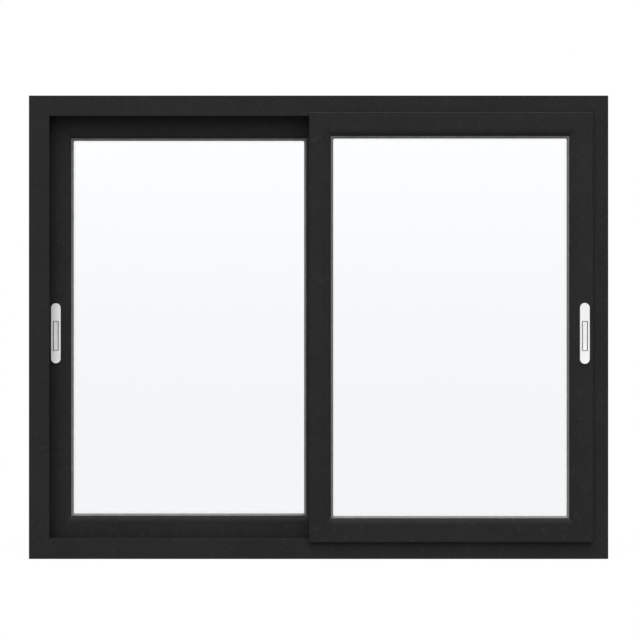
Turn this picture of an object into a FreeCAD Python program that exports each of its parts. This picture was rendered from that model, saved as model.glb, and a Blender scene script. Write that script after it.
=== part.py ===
"""Two-panel horizontal sliding window, 1500 mm wide and 1200 mm high.

An outer frame of four mitred lengths carries two glazed sashes. Each sash has a groove round its
edge that straddles a track rail. The right sash runs on the front wall of the frame and stands
proud of it, and the left sash runs on the middle rail and sits behind the frame's face.

+X is to the right as seen from indoors, +Y points outdoors and +Z is up.
The origin is the middle of the sill's underside.
"""
import FreeCAD
import Part

import math
import os

from FreeCAD import Vector

# Outer frame, seen from indoors
FRAME_WIDTH = 1500.0
FRAME_HEIGHT = 1200.0
FRAME_DEPTH = 80.0
FRAME_FACE = 53.0
FRAME_WALL = 4.0
TRACK_FLOOR = 28.0
TRACK_PITCH = 44.0
FRAME_ARRIS = 1.5
RAIL_ARRIS = 1.0

# Sash profile: across from its outer edge, deep from its indoor face
SASH_FACE = 61.0
SASH_DEPTH = 36.0
SASH_ARRIS = 3.0
SASH_BACK_ARRIS = 2.0
GROOVE_DEPTH = 30.0
GROOVE_WIDTH = 14.0
FACE_TO_RAIL = 13.5
REBATE = 45.0
REBATE_ARRIS = 0.8
REBATE_LIP = 4.5
RAIL_LAP = 8.5
JAMB_LAP = 12.0
MEETING_LAP = 49.0
MEETING_TRIM = 5.0

# Glazing bead
BEAD_SET_BACK = 0.3
BEAD_DROP = 5.4
BEAD_BACK = 7.0
BEAD_FOOT = 3.5
BEAD_FOOT_DEPTH = 7.0

# Double glazed unit and its gaskets
PANE = 5.0
CAVITY = 10.0
GLASS_GAP = 5.0
GLASS_FRONT = 9.5
GASKET_HIDDEN = 8.0
GASKET_SHOWN = 6.5
GASKET_SHADOW = 0.8
GASKET_NOSE = 1.0
GASKET_TIP = 0.5
GASKET_BEND = 4.0
OUTER_GASKET_SHOWN = 2.0
SPACER_INSET = 4.0
SPACER_HEIGHT = 6.5
SPACER_BEND = 2.0
BLOCK_LENGTH = 80.0
BLOCK_INSET = 120.0

# Rollers in the groove of the bottom rail
WHEEL_RADIUS = 9.0
WHEEL_TREAD = 5.0
WHEEL_WIDTH = 8.5
FLANGE = 1.5
AXLE_RADIUS = 2.0
AXLE_CLEARANCE = 0.1
HOUSING_WALL = 1.5
HOUSING_WIDTH = 13.0
HOUSING_LENGTH = 52.0
HOUSING_SKIRT = 4.0
ROLLER_INSET = 150.0

# Flush pull on each outer stile
HANDLE_HEIGHT = 584.0
HANDLE_INSET = 22.5
HANDLE_WIDTH = 25.0
HANDLE_LENGTH = 157.0
HANDLE_THICKNESS = 3.0
HANDLE_RIM = 2.4
HANDLE_DISH = 0.6
HANDLE_ARRIS = 1.2
SLOT_WIDTH = 14.4
SLOT_LENGTH = 77.0
SLOT_DROP = 6.5
TONGUE_GAP = 1.1
TONGUE_SINK = 0.9
TONGUE_SCOOP = 1.0
CASE_LENGTH = 120.0
CASE_WIDTH = 15.0

# Meeting stiles
COVER_DEPTH = 8.0
COVER_END_GAP = 2.0
HOOK_THICKNESS = 1.2
HOOK_BASE = 17.0
HOOK_INSET = 3.0
HOOK_REACH = 5.6
HOOK_NOSE = 5.7

# Openings in the outer frame, and the hoods over the drain slots
FIXING_RADIUS = 4.0
FIXING_END = 150.0
FIXING_COUNT = 4
DRAIN_WIDTH = 25.0
DRAIN_HEIGHT = 5.0
DRAIN_COUNT = 3
DRAIN_END = 250.0
HOOD_MARGIN = 6.0
HOOD_DEPTH = 5.0
HOOD_SHELL = 1.5
HOOD_ARRIS = 2.0

# Places that follow from the sizes above
FRONT = -FRAME_DEPTH / 2
BACK = FRAME_DEPTH / 2
FRONT_RAIL = FRONT + FRAME_WALL / 2
REAR_RAIL = FRONT_RAIL + TRACK_PITCH
SASH_WIDTH = FRAME_WIDTH / 2 - FRAME_FACE + JAMB_LAP + MEETING_LAP / 2
SASH_BOTTOM = FRAME_FACE - RAIL_LAP
SASH_TOP = FRAME_HEIGHT - FRAME_FACE + RAIL_LAP
GROOVE_FRONT = FACE_TO_RAIL - GROOVE_WIDTH / 2
GROOVE_BACK = FACE_TO_RAIL + GROOVE_WIDTH / 2
GLASS_BACK = GLASS_FRONT + 2 * PANE + CAVITY
GLASS_EDGE = REBATE + GLASS_GAP
LIP_FRONT = SASH_DEPTH - REBATE_LIP
SIGHT_LINE = SASH_FACE + GASKET_SHOWN
OUTDOOR = Vector(0, 1, 0)
OVERCUT = 1.0


class Ring:
    """The outer edge of four members in the XZ plane, and the depth of their indoor face."""

    def __init__(self, left, bottom, right, top, front):
        self.left = left
        self.bottom = bottom
        self.right = right
        self.top = top
        self.front = front

    def side(self, name):
        """Start corner, inward direction, running direction and length of one side."""
        y = self.front
        wide = self.right - self.left
        tall = self.top - self.bottom
        return {
            "bottom": (Vector(self.left, y, self.bottom), Vector(0, 0, 1), Vector(1, 0, 0), wide),
            "right": (Vector(self.right, y, self.bottom), Vector(-1, 0, 0), Vector(0, 0, 1), tall),
            "top": (Vector(self.right, y, self.top), Vector(0, 0, -1), Vector(-1, 0, 0), wide),
            "left": (Vector(self.left, y, self.top), Vector(1, 0, 0), Vector(0, 0, -1), tall),
        }[name]


def outline(corners):
    """Edges round a closed section. Each corner is (across, deep) or (across, deep, radius)."""
    points = [Vector(c[0], c[1], 0) for c in corners]
    radii = [c[2] if len(c) > 2 else 0.0 for c in corners]
    starts = []
    ends = []
    middles = []
    for i, corner in enumerate(points):
        back = (points[i - 1] - corner).normalize()
        ahead = (points[(i + 1) % len(points)] - corner).normalize()
        half = back.getAngle(ahead) / 2
        reach = radii[i] / math.tan(half)
        sagitta = radii[i] / math.sin(half) - radii[i]
        starts.append(corner + back * reach)
        ends.append(corner + ahead * reach)
        middles.append(corner + (back + ahead).normalize() * sagitta)
    edges = []
    for i in range(len(points)):
        if radii[i] > 0:
            edges.append(Part.Arc(starts[i], middles[i], ends[i]).toShape())
        following = starts[(i + 1) % len(points)]
        edges.append(Part.LineSegment(ends[i], following).toShape())
    return edges


def section(edges, corner, inward):
    """The face of a section laid across a side: across runs inward and deep runs outdoors."""
    place = FreeCAD.Placement()
    place.Rotation = FreeCAD.Rotation(inward, OUTDOOR, inward.cross(OUTDOOR), "XYZ")
    place.Base = corner
    wire = Part.Wire(edges)
    wire.Placement = place
    return Part.Face(wire)


def mitred(ring, name, edges, near=(0.0, 0.0), far=(0.0, 0.0)):
    """One side of a ring: its section drawn along the side and cut at 45 degrees at both ends.

    near and far say how far the outer edges of the side and of its neighbour lie inside the ring
    at each end, as (neighbour, side). Where they differ, the cut steps at the rebate, so that the
    grooves meet in one corner and the rebates in another.
    """
    corner, inward, along, length = ring.side(name)
    bar = section(edges, corner, inward).extrude(along * length)
    low = corner - OUTDOOR * OVERCUT

    def cut(neighbour, side):
        """Places of the cut as (along, across), from outside the ring to inside the glass."""
        places = [(neighbour - OVERCUT, side - OVERCUT)]
        if neighbour != side:
            rise = REBATE - max(neighbour, side)
            places += [(neighbour + rise, side + rise), (REBATE, REBATE)]
        return places + [(SIGHT_LINE + OVERCUT, SIGHT_LINE + OVERCUT)]

    start = [low + along * a + inward * b for a, b in cut(*near)]
    end = [low + along * (length - a) + inward * b for a, b in cut(*far)]
    knife = Part.makePolygon(start + end[::-1] + start[:1])
    keep = Part.Face(knife).extrude(OUTDOOR * (FRAME_DEPTH + 2 * OVERCUT))
    return bar.common(keep).Solids[0]


def bent_ring(ring, edges, widest, bend):
    """A section carried round all four sides in one piece, with corners of radius bend."""
    centre = widest + bend
    parts = []
    for name in ("bottom", "right", "top", "left"):
        corner, inward, along, length = ring.side(name)
        start = section(edges, corner + along * centre, inward)
        parts.append(start.extrude(along * (length - 2 * centre)))
        parts.append(start.revolve(corner + (along + inward) * centre, OUTDOOR, 90))
    return parts[0].multiFuse(parts[1:]).removeSplitter().Solids[0]


def box_between(low, high):
    """A box from its lowest to its highest corner."""
    return Part.makeBox(high.x - low.x, high.y - low.y, high.z - low.z, low)


def frame_section():
    """Two-track section: front wall, middle rail and outdoor wall standing on a thick base."""
    rail_front = REAR_RAIL - FRONT - FRAME_WALL / 2
    rail_back = rail_front + FRAME_WALL
    wall_front = FRAME_DEPTH - FRAME_WALL
    return outline([
        (0, 0, FRAME_ARRIS),
        (FRAME_FACE, 0, RAIL_ARRIS),
        (FRAME_FACE, FRAME_WALL, RAIL_ARRIS),
        (TRACK_FLOOR, FRAME_WALL),
        (TRACK_FLOOR, rail_front),
        (FRAME_FACE, rail_front, RAIL_ARRIS),
        (FRAME_FACE, rail_back, RAIL_ARRIS),
        (TRACK_FLOOR, rail_back),
        (TRACK_FLOOR, wall_front),
        (FRAME_FACE, wall_front, RAIL_ARRIS),
        (FRAME_FACE, FRAME_DEPTH, RAIL_ARRIS),
        (0, FRAME_DEPTH, FRAME_ARRIS),
    ])


def sash_section(trim=0.0):
    """Sash section: groove for the rail at the outer edge, rebate and fixed lip at the glass.

    A trim makes the wall between groove and rebate thinner and the face narrower.
    """
    return outline([
        (trim, 0, SASH_ARRIS),
        (trim, GROOVE_FRONT),
        (trim + GROOVE_DEPTH, GROOVE_FRONT),
        (trim + GROOVE_DEPTH, GROOVE_BACK),
        (trim, GROOVE_BACK),
        (trim, SASH_DEPTH, SASH_BACK_ARRIS),
        (SASH_FACE, SASH_DEPTH, SASH_BACK_ARRIS),
        (SASH_FACE, LIP_FRONT),
        (REBATE, LIP_FRONT),
        (REBATE, 0, REBATE_ARRIS),
    ])


def bead_section():
    """Glazing bead: a face that curves down to the glass, and a foot that clips in the rebate."""
    run = SASH_FACE - REBATE
    fall = BEAD_DROP - BEAD_SET_BACK
    radius = (run * run + fall * fall) / (2 * fall)
    turn = math.asin(run / radius) / 2
    top = Vector(REBATE, BEAD_SET_BACK, 0)
    nose = Vector(SASH_FACE, BEAD_DROP, 0)
    middle = top + Vector(radius * math.sin(turn), radius * (1 - math.cos(turn)), 0)
    foot = BEAD_BACK + BEAD_FOOT_DEPTH
    rest = [
        nose,
        Vector(SASH_FACE, BEAD_BACK, 0),
        Vector(REBATE + BEAD_FOOT, BEAD_BACK, 0),
        Vector(REBATE + BEAD_FOOT, foot, 0),
        Vector(REBATE, foot, 0),
        top,
    ]
    sides = [Part.LineSegment(a, b).toShape() for a, b in zip(rest, rest[1:])]
    return [Part.Arc(top, middle, nose).toShape()] + sides


def indoor_gasket_section():
    """Gasket between the bead and the glass: a shadow gap, and a lip that slopes to the glass."""
    hidden = SASH_FACE - GASKET_HIDDEN
    nose = BEAD_BACK - GASKET_NOSE
    return outline([
        (hidden, BEAD_BACK),
        (SASH_FACE + GASKET_SHADOW, BEAD_BACK),
        (SASH_FACE + GASKET_SHADOW, nose),
        (SASH_FACE + GASKET_SHADOW + GASKET_NOSE, nose),
        (SIGHT_LINE, GLASS_FRONT - GASKET_TIP),
        (SIGHT_LINE, GLASS_FRONT),
        (hidden, GLASS_FRONT),
    ])


def outdoor_gasket_section():
    """Gasket between the glass and the fixed lip of the sash."""
    hidden = SASH_FACE - GASKET_HIDDEN
    shown = SASH_FACE + OUTER_GASKET_SHOWN
    return outline([
        (hidden, GLASS_BACK),
        (shown, GLASS_BACK),
        (shown, GLASS_BACK + GASKET_TIP),
        (SASH_FACE, LIP_FRONT),
        (hidden, LIP_FRONT),
    ])


def spacer_section():
    """The bar that keeps the two panes apart."""
    low = GLASS_EDGE + SPACER_INSET
    return outline([
        (low, GLASS_FRONT + PANE),
        (low + SPACER_HEIGHT, GLASS_FRONT + PANE),
        (low + SPACER_HEIGHT, GLASS_BACK - PANE),
        (low, GLASS_BACK - PANE),
    ])


def drain_places():
    """Middles of the drain slots along the sill."""
    span = FRAME_WIDTH - 2 * DRAIN_END
    step = span / (DRAIN_COUNT - 1)
    return [-span / 2 + i * step for i in range(DRAIN_COUNT)]


def fixing_heights():
    """Heights of the wall fixings along a jamb."""
    step = (FRAME_HEIGHT - 2 * FIXING_END) / (FIXING_COUNT - 1)
    return [FIXING_END + i * step for i in range(FIXING_COUNT)]


def make_frame():
    """The four members of the outer frame, with drain slots and holes for wall fixings."""
    ring = Ring(-FRAME_WIDTH / 2, 0, FRAME_WIDTH / 2, FRAME_HEIGHT, FRONT)
    edges = frame_section()
    front_track = (FRONT + FRAME_WALL + REAR_RAIL - FRAME_WALL / 2) / 2
    rear_track = (REAR_RAIL + FRAME_WALL / 2 + BACK - FRAME_WALL) / 2

    sill = mitred(ring, "bottom", edges)
    for x in drain_places():
        low = Vector(x - DRAIN_WIDTH / 2, front_track, TRACK_FLOOR)
        high = Vector(x + DRAIN_WIDTH / 2, BACK + OVERCUT, TRACK_FLOOR + DRAIN_HEIGHT)
        sill = sill.cut(box_between(low, high))

    def jamb(name, y):
        """A jamb with its fixings in the track that its sash leaves open."""
        corner, inward, _, _ = ring.side(name)
        member = mitred(ring, name, edges)
        for z in fixing_heights():
            start = Vector(corner.x, y, z) - inward * OVERCUT
            length = TRACK_FLOOR + 2 * OVERCUT
            member = member.cut(Part.makeCylinder(FIXING_RADIUS, length, start, inward))
        return member

    return {
        "frame_head": mitred(ring, "top", edges),
        "frame_sill": sill,
        "frame_jamb_left": jamb("left", front_track),
        "frame_jamb_right": jamb("right", rear_track),
    }


def make_drain_covers():
    """Hooded caps over the drain slots, open underneath."""
    wide = DRAIN_WIDTH + 2 * HOOD_MARGIN
    low = TRACK_FLOOR - HOOD_MARGIN
    high = TRACK_FLOOR + DRAIN_HEIGHT + HOOD_MARGIN
    covers = []
    for x in drain_places():
        left = x - wide / 2
        right = x + wide / 2
        body = box_between(Vector(left, BACK, low), Vector(right, BACK + HOOD_DEPTH, high))
        rims = [e for e in body.Edges if e.BoundBox.YMin > BACK + HOOD_DEPTH / 2]
        hollow = box_between(
            Vector(left + HOOD_SHELL, BACK, low),
            Vector(right - HOOD_SHELL, BACK + HOOD_DEPTH - HOOD_SHELL, high - HOOD_SHELL),
        )
        covers.append(body.makeFillet(HOOD_ARRIS, rims).cut(hollow))
    return Part.makeCompound(covers)


class Sash:
    """One glazed sash. side is -1 for the left sash and 1 for the right one."""

    def __init__(self, side, rail):
        self.side = side
        self.rail = rail
        self.front = rail - FACE_TO_RAIL
        self.meeting = -side * MEETING_LAP / 2
        self.outer = self.meeting + side * SASH_WIDTH
        glazed_to = self.meeting - side * MEETING_TRIM
        self.ring = Ring(
            min(glazed_to, self.outer),
            SASH_BOTTOM,
            max(glazed_to, self.outer),
            SASH_TOP,
            self.front,
        )
        self.outer_side = "right" if side > 0 else "left"
        self.meeting_side = "left" if side > 0 else "right"
        self.handle_x = self.outer - side * HANDLE_INSET
        self.slot_height = HANDLE_HEIGHT - SLOT_DROP

    def slot(self, start, end, gap=0.0):
        """The box of the pull's slot between two depths, made smaller by a gap all round."""
        half_width = SLOT_WIDTH / 2 - gap
        half_length = SLOT_LENGTH / 2 - gap
        return box_between(
            Vector(self.handle_x - half_width, start, self.slot_height - half_length),
            Vector(self.handle_x + half_width, end, self.slot_height + half_length),
        )

    def members(self):
        """Rails and stiles. The meeting stile is narrower, and the outer one has the pull's slot."""
        edges = sash_section()
        stile = mitred(self.ring, self.outer_side, edges)
        slot = self.slot(self.front - OVERCUT, self.front + GROOVE_FRONT)
        plain = (0.0, 0.0)
        by_narrow = (MEETING_TRIM, 0.0)
        narrow = (0.0, MEETING_TRIM)
        top_ends = (plain, by_narrow) if self.side > 0 else (by_narrow, plain)
        meeting_edges = sash_section(MEETING_TRIM)
        return {
            "top_rail": mitred(self.ring, "top", edges, *top_ends),
            "bottom_rail": mitred(self.ring, "bottom", edges, *top_ends[::-1]),
            "outer_stile": stile.cut(slot),
            "meeting_stile": mitred(self.ring, self.meeting_side, meeting_edges, narrow, narrow),
        }

    def beads(self):
        """Four glazing beads, mitred like the sash."""
        edges = bead_section()
        return {
            "bead_top": mitred(self.ring, "top", edges),
            "bead_bottom": mitred(self.ring, "bottom", edges),
            "bead_outer": mitred(self.ring, self.outer_side, edges),
            "bead_meeting": mitred(self.ring, self.meeting_side, edges),
        }

    def pane(self, deep):
        """A pane whose indoor face is deep behind the sash's face."""
        ring = self.ring
        y = self.front + deep
        return box_between(
            Vector(ring.left + GLASS_EDGE, y, ring.bottom + GLASS_EDGE),
            Vector(ring.right - GLASS_EDGE, y + PANE, ring.top - GLASS_EDGE),
        )

    def glazing(self):
        """Two panes, the spacer between them, both gaskets and the blocks under the glass."""
        ring = self.ring
        blocks = []
        for x in (ring.left + GLASS_EDGE + BLOCK_INSET, ring.right - GLASS_EDGE - BLOCK_INSET):
            blocks.append(box_between(
                Vector(x - BLOCK_LENGTH / 2, self.front + GLASS_FRONT + PANE, ring.bottom + REBATE),
                Vector(x + BLOCK_LENGTH / 2, self.front + GLASS_BACK, ring.bottom + GLASS_EDGE),
            ))
        spacer_top = GLASS_EDGE + SPACER_INSET + SPACER_HEIGHT
        outer_sight = SASH_FACE + OUTER_GASKET_SHOWN
        return {
            "pane_indoor": self.pane(GLASS_FRONT),
            "pane_outdoor": self.pane(GLASS_BACK - PANE),
            "spacer": bent_ring(ring, spacer_section(), spacer_top, SPACER_BEND),
            "gasket_indoor": bent_ring(ring, indoor_gasket_section(), SIGHT_LINE, GASKET_BEND),
            "gasket_outdoor": bent_ring(ring, outdoor_gasket_section(), outer_sight, GASKET_BEND),
            "setting_blocks": Part.makeCompound(blocks),
        }

    def wheel(self, x, z):
        """A flanged wheel whose flanges straddle the rail, bored for its axle."""
        start = Vector(x, self.rail - WHEEL_WIDTH / 2, z)
        tread = Vector(x, self.rail - WHEEL_TREAD / 2, z)
        blank = Part.makeCylinder(WHEEL_RADIUS + FLANGE, WHEEL_WIDTH, start, OUTDOOR)
        turned = Part.makeCylinder(WHEEL_RADIUS + 2 * FLANGE, WHEEL_TREAD, tread, OUTDOOR)
        core = Part.makeCylinder(WHEEL_RADIUS, WHEEL_TREAD, tread, OUTDOOR)
        bore = Part.makeCylinder(AXLE_RADIUS + AXLE_CLEARANCE, WHEEL_WIDTH, start, OUTDOOR)
        return blank.cut(turned.cut(core)).cut(bore)

    def housing(self, x, z):
        """A folded cap that sits on the floor of the groove and carries the axle."""
        low = Vector(x - HOUSING_LENGTH / 2, self.rail - HOUSING_WIDTH / 2, z - HOUSING_SKIRT)
        high = Vector(
            x + HOUSING_LENGTH / 2, self.rail + HOUSING_WIDTH / 2, SASH_BOTTOM + GROOVE_DEPTH
        )
        inside = box_between(
            low + Vector(-OVERCUT, HOUSING_WALL, -OVERCUT),
            high + Vector(OVERCUT, -HOUSING_WALL, -HOUSING_WALL),
        )
        axle_start = Vector(x, low.y + HOUSING_WALL / 2, z)
        axle = Part.makeCylinder(AXLE_RADIUS, HOUSING_WIDTH - HOUSING_WALL, axle_start, OUTDOOR)
        return box_between(low, high).cut(inside).fuse(axle)

    def rollers(self):
        """Two rollers in the groove of the bottom rail, standing on the track rail."""
        axle_height = FRAME_FACE + WHEEL_RADIUS
        places = (self.ring.left + ROLLER_INSET, self.ring.right - ROLLER_INSET)
        return {
            "roller_wheels": Part.makeCompound([self.wheel(x, axle_height) for x in places]),
            "roller_housings": Part.makeCompound([self.housing(x, axle_height) for x in places]),
        }

    def capsule(self, inset, start, depth):
        """The outline of the handle plate, set in by an inset, as a slab between two depths."""
        radius = HANDLE_WIDTH / 2 - inset
        straight = HANDLE_LENGTH / 2 - HANDLE_WIDTH / 2
        x = self.handle_x
        low = Vector(x, start, HANDLE_HEIGHT - straight)
        high = Vector(x, start, HANDLE_HEIGHT + straight)
        side = Vector(radius, 0, 0)
        tip = Vector(0, 0, radius)
        rim = Part.Wire([
            Part.Arc(low - side, low - tip, low + side).toShape(),
            Part.LineSegment(low + side, high + side).toShape(),
            Part.Arc(high + side, high + tip, high - side).toShape(),
            Part.LineSegment(high - side, low - side).toShape(),
        ])
        return Part.Face(rim).extrude(OUTDOOR * depth)

    def handle(self):
        """Flush pull: a rimmed plate, the scooped tongue in its slot and the case behind it."""
        face = self.front - HANDLE_THICKNESS
        plate = self.capsule(0.0, face, HANDLE_THICKNESS)
        rims = [e for e in plate.Edges if e.BoundBox.YMax < face + HANDLE_ARRIS / 2]
        plate = plate.makeChamfer(HANDLE_ARRIS, rims)
        plate = plate.cut(self.capsule(HANDLE_RIM, face - OVERCUT, OVERCUT + HANDLE_DISH))
        plate = plate.cut(self.slot(face - OVERCUT, self.front + OVERCUT))

        tongue_face = face + TONGUE_SINK
        tongue = self.slot(tongue_face, self.front + GROOVE_FRONT, TONGUE_GAP)
        half = SLOT_WIDTH / 2 - TONGUE_GAP
        radius = (half ** 2 + TONGUE_SCOOP ** 2) / (2 * TONGUE_SCOOP)
        foot = self.slot_height - SLOT_LENGTH / 2
        axis = Vector(self.handle_x, tongue_face + TONGUE_SCOOP - radius, foot)
        scoop = Part.makeCylinder(radius, SLOT_LENGTH, axis)

        inner = self.outer - self.side * GROOVE_DEPTH
        near = inner + self.side * CASE_WIDTH
        case = box_between(
            Vector(min(inner, near), self.front + GROOVE_FRONT, HANDLE_HEIGHT - CASE_LENGTH / 2),
            Vector(max(inner, near), self.front + GROOVE_BACK, HANDLE_HEIGHT + CASE_LENGTH / 2),
        )
        return {
            "handle_plate": plate,
            "latch_tongue": tongue.cut(scoop),
            "latch_case": case,
        }

    def meeting_pieces(self):
        """The strip that closes the groove of the meeting stile, and the hook on its inner face."""
        low = FRAME_FACE + COVER_END_GAP
        high = FRAME_HEIGHT - low
        inner = self.meeting + self.side * COVER_DEPTH
        cover = box_between(
            Vector(min(self.meeting, inner), self.front + GROOVE_FRONT, low),
            Vector(max(self.meeting, inner), self.front + GROOVE_BACK, high),
        )

        # The hook stands on the face that looks at the other sash and turns towards its stile
        root = self.front + (SASH_DEPTH if self.side > 0 else 0.0)
        steps = [
            (-HOOK_INSET - HOOK_BASE, 0),
            (-HOOK_INSET, 0),
            (-HOOK_INSET, HOOK_REACH - HOOK_THICKNESS),
            (-HOOK_INSET - HOOK_THICKNESS + HOOK_NOSE, HOOK_REACH - HOOK_THICKNESS),
            (-HOOK_INSET - HOOK_THICKNESS + HOOK_NOSE, HOOK_REACH),
            (-HOOK_INSET - HOOK_THICKNESS, HOOK_REACH),
            (-HOOK_INSET - HOOK_THICKNESS, HOOK_THICKNESS),
            (-HOOK_INSET - HOOK_BASE, HOOK_THICKNESS),
            (-HOOK_INSET - HOOK_BASE, 0),
        ]
        bend = Part.makePolygon([Vector(self.side * x, root + self.side * y, low) for x, y in steps])
        hook = Part.Face(bend).extrude(Vector(0, 0, high - low))
        return {"meeting_cover": cover, "interlock": hook}

    def pieces(self):
        """Every piece of the sash by name."""
        return {
            **self.members(),
            **self.beads(),
            **self.glazing(),
            **self.rollers(),
            **self.handle(),
            **self.meeting_pieces(),
        }


def build():
    """All pieces of the window by node name."""
    nodes = make_frame()
    nodes["sill_drain_covers"] = make_drain_covers()
    for name, sash in (("left_sash", Sash(-1, REAR_RAIL)), ("right_sash", Sash(1, FRONT_RAIL))):
        for piece, shape in sash.pieces().items():
            nodes[name + "_" + piece] = shape
    return nodes


os.makedirs("parts", exist_ok=True)
for node, shape in build().items():
    shape.exportStep("parts/" + node + ".step")
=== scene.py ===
# %% [markdown]
# A horizontal sliding window. The construction comes as a fixed model with one object for each
# piece, in metres, with +X to the right as seen from indoors, +Y outdoors and +Z up. This lesson
# gives every piece its finish, and rebuilds the pieces that are seen close up as smooth surfaces
# in exactly the same places. Everything is measured from the fixed model, so it has to be loaded
# before anything else.

import math

import bmesh
import bpy
import numpy as np
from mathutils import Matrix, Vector


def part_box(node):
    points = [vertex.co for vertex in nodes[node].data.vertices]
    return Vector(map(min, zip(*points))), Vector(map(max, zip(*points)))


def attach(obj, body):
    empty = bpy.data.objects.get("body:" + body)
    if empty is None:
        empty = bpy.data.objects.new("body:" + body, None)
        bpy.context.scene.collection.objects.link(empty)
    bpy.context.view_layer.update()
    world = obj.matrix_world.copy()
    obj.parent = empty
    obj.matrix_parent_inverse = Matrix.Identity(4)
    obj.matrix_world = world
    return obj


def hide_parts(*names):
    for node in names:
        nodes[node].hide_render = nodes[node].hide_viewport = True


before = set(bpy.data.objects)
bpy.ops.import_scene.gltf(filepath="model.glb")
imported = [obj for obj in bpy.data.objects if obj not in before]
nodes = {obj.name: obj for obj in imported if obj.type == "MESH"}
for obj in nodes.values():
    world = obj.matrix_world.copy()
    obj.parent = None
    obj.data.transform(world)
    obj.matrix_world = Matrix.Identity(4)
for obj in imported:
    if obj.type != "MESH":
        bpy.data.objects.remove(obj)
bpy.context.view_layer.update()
MM = 0.001
print("window of", len(nodes), "pieces")

# %% [markdown]
# A finish is a small graph of nodes, and written out node by node it is hard to read. So one class
# stands for a socket and takes part in ordinary sums: 1 - mask then makes its own Math node. The
# operations that Python has no sign for, such as the smaller of two values, are methods.

# %% Sockets that take part in sums


class Term:
    """A socket of a finish that can be added, subtracted and multiplied."""

    def __init__(self, finish, socket):
        self.finish = finish
        self.socket = socket

    def math(self, operation, *values):
        """A Math node that does an operation on these values."""
        sockets = dict(enumerate(values))
        return self.finish.add("ShaderNodeMath", {"operation": operation}, sockets)

    def __add__(self, other):
        return self.math("ADD", self, other)

    def __radd__(self, other):
        return self.math("ADD", other, self)

    def __sub__(self, other):
        return self.math("SUBTRACT", self, other)

    def __rsub__(self, other):
        return self.math("SUBTRACT", other, self)

    def __mul__(self, other):
        return self.math("MULTIPLY", self, other)

    def __rmul__(self, other):
        return self.math("MULTIPLY", other, self)

    def __abs__(self):
        return self.math("ABSOLUTE", self)

    def least(self, other):
        return self.math("MINIMUM", self, other)

    def most(self, other):
        return self.math("MAXIMUM", self, other)

    def between(self, low, high):
        """0 below low, 1 above high and a smooth rise in between."""
        sockets = {"Value": self, "From Min": low, "From Max": high}
        return self.finish.add("ShaderNodeMapRange", {"interpolation_type": "SMOOTHSTEP"}, sockets)


print("sockets take part in sums")

# %% [markdown]
# Every other node comes from one method, which takes the node's kind, its settings, and a value or
# a link for each socket. Patterns read Object coordinates, so a size in metres is the real size of
# the grain, wherever the piece lies. Two colours are mixed by a Mix node, because a Math node
# would turn them grey.

# %% A finish that is built up node by node
# A Mix node keeps the sockets of all its kinds of data, so those for colours go by their numbers.
MIX_MASK = 0
MIX_FIRST = 6
MIX_SECOND = 7
MIX_RESULT = 2


class Finish:
    """A material, or a world, and the nodes that it consists of."""

    def __init__(self, owner, coordinates="Object"):
        owner.use_nodes = True
        self.owner = owner
        self.tree = owner.node_tree
        self.tree.nodes.clear()
        self.place = self.add("ShaderNodeTexCoord", out=coordinates)

    def add(self, kind, settings=None, sockets=None, out=0):
        """Adds a node of a kind: its settings first, then a value or a link for each socket."""
        node = self.tree.nodes.new(kind)
        for key, value in (settings or {}).items():
            setattr(node, key, value)
        for key, value in (sockets or {}).items():
            if isinstance(value, Term):
                self.tree.links.new(value.socket, node.inputs[key])
            else:
                node.inputs[key].default_value = value
        return Term(self, node.outputs[out]) if len(node.outputs) else None

    def noise(self, size, detail=2.0, roughness=0.5, place=None):
        """Cloudy noise from 0 to 1 with features of about a size in metres."""
        sockets = {
            "Vector": place or self.place,
            "Scale": 1 / size,
            "Detail": detail,
            "Roughness": roughness,
        }
        return self.add("ShaderNodeTexNoise", {}, sockets)

    def stretched(self, x, y, z):
        """The place with each direction scaled. A small scale draws a pattern out that way."""
        return self.add("ShaderNodeMapping", {}, {"Vector": self.place, "Scale": (x, y, z)})

    def blend(self, mask, first, second):
        """The first colour where a mask is 0 and the second where it is 1."""
        sockets = {MIX_MASK: mask, MIX_FIRST: first, MIX_SECOND: second}
        return self.add("ShaderNodeMix", {"data_type": "RGBA"}, sockets, out=MIX_RESULT)

    def bump(self, height, depth):
        """Turns a height from 0 to 1 into a normal for a relief that is depth metres deep."""
        return self.add("ShaderNodeBump", {}, {"Height": height, "Distance": depth})

    def part(self, axis):
        """The X, Y or Z of the place."""
        return self.add("ShaderNodeSeparateXYZ", {}, {"Vector": self.place}, out=axis)

    def surface(self, settings):
        """Ends the graph in a Principled surface with these sockets, and gives the material."""
        shader = self.add("ShaderNodeBsdfPrincipled", {}, settings)
        self.add("ShaderNodeOutputMaterial", {}, {"Surface": shader})
        return self.owner


print("a finish is built up node by node")

# %% [markdown]
# Colours are easiest to compare with a photograph as sRGB greys from 0 to 255, but a shader wants
# them in linear light. Nearly everything on this window is a neutral grey, with at most a touch of
# warmth, so one function turns a grey and a warmth into a colour.

# %% Greys, and an empty finish


def shade(grey, warmth=0.0):
    """The colour of an sRGB grey from 0 to 255, a little warmer or cooler, with alpha.

    The curve of sRGB is a straight line below 0.04 of white and a power of 2.4 above it.
    """
    value = grey / 255
    linear = value / 12.92 if value <= 0.04045 else ((value + 0.055) / 1.055) ** 2.4
    return (linear * (1 + warmth), linear, linear * (1 - warmth), 1)


def material_finish(name):
    """An empty finish for a piece."""
    return Finish(bpy.data.materials.new(name))


print("a grey of 128 is", round(shade(128)[0], 3), "of white in linear light")

# %% [markdown]
# The frame and the sashes of such a window are plastic profiles wrapped in a printed film. Each
# corner is welded at 45 degrees, which leaves a hairline seam. The seam is where the distance to
# the nearest upright edge of the ring equals the distance to the nearest level edge, so it can be
# worked out from the place, and the pieces need no extra edges for it.

# %% The seams of the welded corners
SEAM_HALF_WIDTH = 0.35 * MM


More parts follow.
